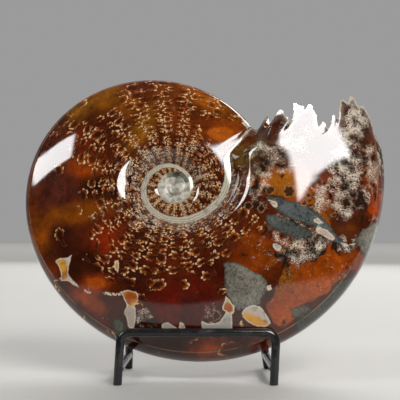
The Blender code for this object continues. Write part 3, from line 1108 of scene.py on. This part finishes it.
class Fossil(Surface):
    """The polished fossil. Each method lays one kind of mark over those before it."""

    def __init__(self):
        super().__init__("polished_fossil")
        self.face = self.uv("face")
        self.whorl = self.uv("whorl")
        self.inner, self.outer, _ = self.separate(self.uv("seams"))
        self.radius = self.maths("EXPONENT", self.separate(self.whorl)[1] * RING_GROWTH)
        self.clouds = self.attribute("clouds", "Color")
        self.to_break = self.attribute("to_break")
        self.raw = self.between(self.to_break, -0.2, -0.9)
        self.slow = self.noise(110, 4, 0.6)
        self.fine = self.noise(420, 4, 0.6)
        self.grain = self.noise(1500, 3, 0.6)
        self.specks = self.noise(1100, 3, 0.7)
        self.clumps = self.noise(190, 2, 0.6)
        self.ragged = sway(self.fine, 7.0) + sway(self.grain, 3.0)
        self.colour = None

    def lay(self, share, colour):
        self.colour = self.tint(share, self.colour, colour)

    def amber_clouds(self):
        shade = (self.slow * 2.2 - 0.20) * (self.fine * 1.5 + 0.25)
        self.colour = self.shaded(self.clouds, shade, shade * 0.82, shade * 0.6)
        smoky = self.between(self.noise(60, 3, 0.6), 0.55, 0.72)
        self.lay(smoky * 0.5, (66, 34, 26))
        self.ground = self.colour

    def leaf_fan(self, columns, rings, way, seed, size, reach_out, repeats):
        """Distance to the lobed leaves that point one way, below 0 inside, and where their tips are."""
        column = self.maths("ROUND", columns)
        shift = self.node("ShaderNodeTexWhiteNoise", self.combine(column, seed))
        ring = rings * repeats + shift
        cell = self.maths("FLOOR", ring)
        chance, colour = self.node("ShaderNodeTexWhiteNoise", self.combine(column, cell, seed),
                                   give=("Value", "Color"))
        first, second, third = self.separate(colour)
        x = (columns - column) * way - reach_out - first * 0.12
        y = (ring - cell - second * 0.26 - 0.37) * (0.85 / repeats)
        turn = self.maths("ARCTAN2", y, x)
        forward = self.maths("COSINE", turn)
        lobes = abs(self.maths("COSINE", turn * LOBE_TURNS + sway(second, 0.8)))
        lobes = self.maths("POWER", lobes, 0.6)
        outline = (lobes * 0.42 + 0.60) * (forward * 0.26 + 0.98) * (third * (0.5 * size) + 0.72 * size)
        leaf = self.vector("LENGTH", self.combine(x, y)) - outline
        neck = self.maths("MAXIMUM", abs(y) - NECK_WIDTH, x)
        neck = self.maths("MAXIMUM", neck, x * -1.0 - (reach_out + 0.1))
        tips = lobes * self.between(forward, -1.0, 0.4) * self.between(leaf - neck, 0.06, 0.0)
        return self.maths("MINIMUM", leaf, neck), tips, chance

    def all_leaves(self, columns, rings):
        """The distance to the outlines of all the leaves, and how much each place is a tip."""
        density = self.attribute("sutures")
        together = None
        for way, seed, size, reach_out, repeats, share in LEAF_FANS:
            leaf, tips, chance = self.leaf_fan(columns, rings, way, seed, size, reach_out, repeats)
            leaf = leaf + self.maths("GREATER_THAN", chance, density * share)
            if together is None:
                together, brightness = leaf, tips
                continue
            nearer = self.maths("LESS_THAN", leaf, together)
            brightness = nearer * (tips - brightness) + brightness
            together = self.maths("MINIMUM", together, leaf)
        return together, brightness

    def lobed_sutures(self):
        bent = self.shaken(self.whorl, self.whorl, 1.7, 2, 0.5, (0.34, 0.62, 0))
        bent = self.shaken(bent, self.whorl, 8.0, 2, 0.6, (0.055, 0.08, 0))
        columns, rings, _ = self.separate(bent)
        leaves, tips = self.all_leaves(columns, rings)
        depth = leaves * COLUMN_TURN * self.radius
        # the leaves, dark at the root and glowing towards the tips
        warmth = self.between(self.noise(260, 3, 0.6), 0.36, 0.62)
        dark = self.tint(0.25, (46, 15, 6), self.clouds)
        glow = self.tint(tips * (warmth * 0.65 + 0.30), self.clouds, (240, 118, 26))
        leaf = self.tint(self.between(depth, -1.7, -0.1) * (tips * 0.75 + 0.25), dark, glow)
        pale = self.between(self.noise(85, 3, 0.6), 0.50, 0.60) * self.between(self.inner, 13.0, 4.0)
        pale = pale * self.between(self.radius, 15.0, 20.0)
        leaf = self.tint(pale * 0.55, leaf, (214, 180, 140))
        self.lay(self.between(depth, 0.12, -0.12) * 0.94, leaf)
        # the dark just outside them, and their bright outlines
        shadow = self.between(depth, 1.0, 0.15) * self.between(depth, -0.1, 0.2)
        self.lay(shadow * (tips * 0.5 + 0.15), (40, 14, 6))
        line = self.between(abs(tips * 0.10 + depth) / (tips * 0.29 + 0.17), 1.25, 0.25)
        line = line * self.between(self.noise(330, 2, 0.5), 0.30, 0.52) * (tips * 0.70 + 0.30)
        line_colour = self.tint(self.between(tips, 0.35, 0.95), (176, 100, 44), (255, 220, 166))
        line_colour = self.tint(pale * 0.8, line_colour, (255, 246, 228))
        self.lay(line, line_colour)

    def cream_specks(self):
        """A frost of cream specks close to the umbilicus."""
        near = self.between(self.inner, 11.0, 0.5) * self.between(self.radius, 40.0, 22.0)
        near = near * (self.between(self.radius, 12.0, 16.0) * 0.5 + 0.5)
        frosty = self.specks + near * 0.045 + sway(self.clumps, 0.5)
        frosty = self.between(frosty, 0.62, 0.72) * self.between(near, 0.05, 0.3)
        self.lay(frosty, self.tint(self.grain, (150, 124, 98), (255, 246, 230)))

    def clear_amber(self):
        own, edge = self.attribute("amber", "Color", "Alpha")
        shade = (self.fine * 1.5 + 0.20) * (self.slow * 1.3 + 0.35)
        amber = self.shaded(own, shade, shade, shade)
        speckled = self.vector("DISTANCE", self.face, SPECKLED_AMBER) + sway(self.clumps, 0.5)
        ochre = self.tint(self.between(self.grain, 0.42, 0.58), (74, 56, 20), (176, 122, 40))
        amber = self.tint(self.between(speckled, 0.24, 0.12) * 0.65, amber, ochre)
        amber = self.tint(self.between(self.specks, 0.62, 0.72) * 0.75, amber, (246, 206, 140))
        self.lay(self.between(edge + self.ragged, 0.8, -1.2), amber)

    def dendrites(self):
        tangle = self.shaken(self.spot, self.spot, 620, 2, 0.5, (0.0022, 0.0022, 0.0022))
        area = self.attribute("dendrites") + (self.noise(230, 4, 0.65) * 2.6 - 1.4)
        threads = abs(self.noise(1250, 3, 0.65, tangle) - 0.5) - (area * 0.085 - 0.05)
        threads = self.between(threads + sway(self.clumps, -0.22), 0.035, 0.0)
        ground = self.tint(self.between(self.clumps, 0.36, 0.50), (46, 28, 20), self.ground)
        pale = self.tint(self.between(self.clumps, 0.38, 0.60), (146, 144, 124), (252, 236, 212))
        self.lay(self.between(area, 0.15, 0.45), self.tint(threads, ground, pale))

    def grey_matrix(self):
        own, edge = self.attribute("matrix", "Color", "Alpha")
        edge = edge + self.ragged * 1.1
        mottle = self.between(self.specks, 0.60, 0.46) * 0.42 + (self.fine * 1.1 + (self.slow * 1.1 - 0.62))
        mottle = mottle * (self.between(edge, -0.3, -2.2) * 0.50 + 0.50)
        self.lay(self.between(edge, 0.6, -0.6), self.shaded(own, mottle, mottle, mottle))

    def cream_veins(self):
        own, edge = self.attribute("veins", "Color", "Alpha")
        edge = edge + self.ragged * 0.35
        golden = self.between(self.attribute("vein_glow") + sway(self.fine, 0.8), 0.35, 0.8)
        gold = self.tint(self.between(self.slow, 0.38, 0.62), (186, 84, 10), (255, 186, 70))
        vein = self.tint(golden, own, gold)
        vein = self.tint(self.between(edge, -1.6, -0.2), vein, (255, 240, 214))
        vein = self.tint(self.between(self.fine, 0.5, 0.68) * 0.5, vein, (150, 120, 100))
        self.lay(self.between(edge, 0.5, -0.5), vein)

    def dark_flowers(self):
        """Small dark flowers with a pale edge."""
        crinkled = sway(self.fine, 7.0)
        for x, y, size, lobes in FLOWERS:
            away = self.vector("SUBTRACT", self.face, (x / 100, y / 100, 0))
            dx, dy, _ = self.separate(away)
            lobe = abs(self.maths("COSINE", self.maths("ARCTAN2", dy, dx) * (lobes / 2)))
            edge = self.vector("LENGTH", away) * 100.0 - lobe * (0.24 * size) - 0.72 * size + crinkled
            dark = self.tint(self.between(edge, -0.4, -2.4), (104, 56, 22), (46, 22, 12))
            self.lay(self.between(edge, 0.3, -0.5) * 0.85, dark)
            rim = self.between(abs(edge), 0.85, 0.2) * self.between(self.grain, 0.38, 0.58)
            self.lay(rim * 0.8, (176, 150, 112))

    def broken_edge(self):
        """The knobs of the break, pale at their very rim, and its raw face."""
        knobs = self.tint(self.between(self.fine, 0.40, 0.62), (104, 78, 74), (178, 164, 152))
        self.lay(self.between(self.to_break + sway(self.fine, 5.0), 3.0, 0.6) * 0.8, knobs)
        rim = self.between(self.to_break, 0.9, 0.3) * self.between(self.grain, 0.25, 0.5)
        self.lay(rim, (226, 212, 190))
        stone = self.tint(self.between(self.fine, 0.35, 0.65), (58, 48, 40), (120, 108, 92))
        stone = self.tint(self.between(self.specks, 0.55, 0.65), stone, (160, 146, 126))
        self.lay(self.raw, stone)

    def painted_ridge_highlight(self):
        # Painted highlight: a pale line laid along the ridge that edges the flanks, made patchy by a slow
        # noise.
        ridge = abs(self.attribute("to_ridge"))
        rubbing_and_sheen = self.between(ridge, 0.32, 0.08) * self.between(self.slow, 0.35, 0.55)
        self.lay(rubbing_and_sheen * 0.5, (196, 150, 110))

    def seam_band(self):
        """The cream band along the seam, with its fine lines."""
        width = self.node("ShaderNodeMapRange", self.radius, 7.0, 15.0, 1.6, 2.9)
        edge = self.outer / width + sway(self.fine, 0.5)
        strands = self.maths("SINE", edge * 17.0 + self.slow * 9.0) * 0.26 + 0.26
        cream = self.tint(strands, (238, 230, 208), (128, 102, 78))
        cream = self.tint(self.between(self.fine, 0.48, 0.66) * 0.6, cream, (140, 136, 120))
        self.band = self.between(edge, 1.08, 0.92)
        self.lay(self.band, cream)

    def mottled_hub(self):
        stone = self.tint(self.between(self.fine, 0.35, 0.6), (150, 144, 128), (232, 224, 204))
        stone = self.tint(self.between(self.specks, 0.60, 0.68), stone, (88, 82, 70))
        mossy = self.vector("DISTANCE", self.face, MOSSY_SPOT) + sway(self.fine, 0.08)
        bare = self.vector("DISTANCE", self.face, BARE_SPOT)
        mossy = self.between(mossy, 0.155, 0.125) * self.between(bare, 0.125, 0.14)
        moss = self.tint(self.between(self.fine, 0.40, 0.60), (44, 46, 36), (128, 128, 108))
        self.hub = self.between(self.radius, 7.2, 6.6)
        self.lay(self.hub, self.tint(mossy, stone, moss))

    def polish(self):
        """A polish that waves a little, a rubbed hub, and raw stone at the break."""
        rough = self.between(self.noise(300, 4, 0.7), 0.45, 0.7) * 0.05 + 0.045
        rough = self.raw * 0.45 + (self.hub * 0.35 + rough)
        rubbing_and_sheen = self.fine * self.maths("MAXIMUM", self.hub, self.band * 0.3)
        rubbed_height = self.slow * WAVE_HEIGHT + rubbing_and_sheen * RUBBED_HEIGHT
        raw_height = (self.grain * 0.4 + self.fine) * (self.raw * RAW_HEIGHT)
        return self.finish(self.colour, rough, rubbed_height + raw_height, 1.62)


def fossil_material():
    fossil = Fossil()
    fossil.amber_clouds()
    fossil.lobed_sutures()
    fossil.cream_specks()
    fossil.clear_amber()
    fossil.dendrites()
    fossil.grey_matrix()
    fossil.cream_veins()
    fossil.dark_flowers()
    fossil.broken_edge()
    fossil.painted_ridge_highlight()
    fossil.seam_band()
    fossil.mottled_hub()
    return fossil.polish()


def rod_paint():
    """Glossy black paint with a faint orange peel and a few dull spots."""
    paint = Surface("glossy_black_paint")
    dust = paint.noise(190, 4, 0.65)
    colour = paint.mix(paint.between(dust, 0.4, 0.7), (0.009, 0.009, 0.010), (0.022, 0.021, 0.022))
    rough = paint.between(dust, 0.45, 0.68) * 0.16 + 0.13
    return paint.finish(colour, rough, paint.noise(620, 2, 0.5) * PEEL_HEIGHT, 1.5)


def floor_finish():
    """Pale matt board with a fine tooth."""
    board = Surface("pale_board")
    tooth = board.noise(900, 3, 0.6)
    share = tooth * 0.6 + board.noise(9, 3, 0.5) * 0.4
    colour = board.mix(share, (0.37, 0.36, 0.34), (0.43, 0.42, 0.40))
    return board.finish(colour, tooth * 0.12 + 0.56, tooth * TOOTH_HEIGHT)


def make_camera():
    data = bpy.data.cameras.new("front_view")
    data.sensor_width = SENSOR
    data.lens = LENS
    data.clip_start = 0.01
    camera = bpy.data.objects.new("front_view", data)
    camera.location = CAMERA_PLACE
    camera.rotation_euler = (CAMERA_TILT, 0, 0)
    bpy.context.scene.collection.objects.link(camera)
    bpy.context.scene.camera = camera


def area_light(name, width, height, watts, place, in_polish):
    data = bpy.data.lights.new(name, "AREA")
    data.shape = "RECTANGLE"
    data.size = width
    data.size_y = height
    data.energy = watts
    light = bpy.data.objects.new(name, data)
    light.location = place
    light.visible_glossy = in_polish
    bpy.context.scene.collection.objects.link(light)
    return light


def soften_edges(data):
    """Lets the light of a softbox fade towards the edges of its cloth."""
    data.use_nodes = True
    nodes = Nodes(data.node_tree)
    glow = next(node for node in nodes.tree.nodes if node.type == "EMISSION")
    across, down, _ = nodes.separate(nodes.node("ShaderNodeNewGeometry", give=("Parametric",)))
    shares = [nodes.between(nodes.maths("PINGPONG", way, 0.5), 0.0, SOFT_EDGE) for way in (across, down)]
    nodes.join(shares[0] * shares[1], glow.inputs["Strength"])


def make_softbox(name, azimuth, elevation, roll, width, height, watts, in_polish):
    """A softbox that faces the fossil from some way off."""
    azimuth, elevation = math.radians(azimuth), math.radians(elevation)
    away = Vector((math.sin(azimuth) * math.cos(elevation), -math.cos(azimuth) * math.cos(elevation),
                   math.sin(elevation)))
    place = SOFTBOX_AIM + away * SOFTBOX_DISTANCE
    light = area_light(name, width, height, watts, place, in_polish)
    turn = away.to_track_quat("Z", "Y").to_matrix() @ Matrix.Rotation(math.radians(roll), 3, "Z")
    light.rotation_euler = turn.to_euler()
    soften_edges(light.data)


def make_studio():
    world = bpy.data.worlds.new("studio")
    world.use_nodes = True
    nodes = Nodes(world.node_tree)
    _, height, _ = nodes.separate(nodes.node("ShaderNodeTexCoord", give=("Generated",)))
    grey = nodes.node("ShaderNodeMapRange", height, *SURROUND)
    nodes.join(grey, nodes.tree.nodes["Background"].inputs["Color"])
    bpy.context.scene.world = world
    bm = flat_grid(1, 1)
    bmesh.ops.translate(bm, verts=bm.verts, vec=(-0.5, -0.5, 0))
    bmesh.ops.scale(bm, verts=bm.verts, vec=(FLOOR_SIZE, FLOOR_SIZE, 1))
    floor = finish_piece("floor", bm)
    floor.data.materials.append(floor_finish())
    for softbox in SOFTBOXES:
        make_softbox(*softbox)
    area_light("floor_light", *FLOOR_LIGHT)


ammonite = make_ammonite()
add_surface_data(ammonite)
ammonite.data.materials.append(fossil_material())
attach(ammonite, "root")
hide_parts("ammonite")

black_paint = rod_paint()
for node, piece in (
    ("front_hoop", make_hoop("front_rod", FRONT_HOOP)),
    ("back_hoop", make_hoop("back_rod", BACK_HOOP)),
    ("left_rail", make_rail("left_tie", 0)),
    ("right_rail", make_rail("right_tie", 3)),
):
    piece.data.materials.append(black_paint)
    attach(piece, "root")
    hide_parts(node)

make_camera()
make_studio()
bpy.context.scene.view_settings.view_transform = "Standard"
